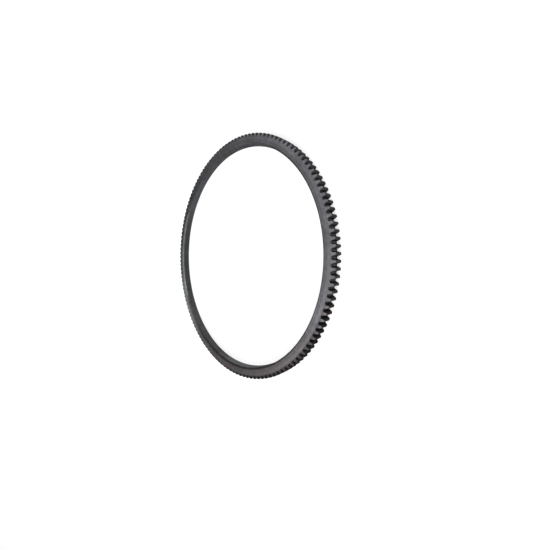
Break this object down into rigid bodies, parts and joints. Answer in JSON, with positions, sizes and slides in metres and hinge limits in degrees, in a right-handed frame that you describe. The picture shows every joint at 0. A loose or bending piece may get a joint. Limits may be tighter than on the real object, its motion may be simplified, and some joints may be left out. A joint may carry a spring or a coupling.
{
  "type": "flywheel ring gear",
  "caption": "Flat steel ring with straight starter teeth around its rim and a plain bore that is shrunk onto a flywheel.",
  "frame": {"origin": "centre of the back face, on the ring's axis, so the ring lies flat on it", "axes": "+Z along the axis, from the back face to the face that the starter enters; +X through the middle of a tooth"},
  "size_m": [0.2916, 0.2916, 0.0108],
  "materials": {
    "ring_gear": "dark turned and hardened steel, satin"
  },
  "bodies": {
    "root": {"ring_gear": "ring_gear"}
  },
  "joints": []
}
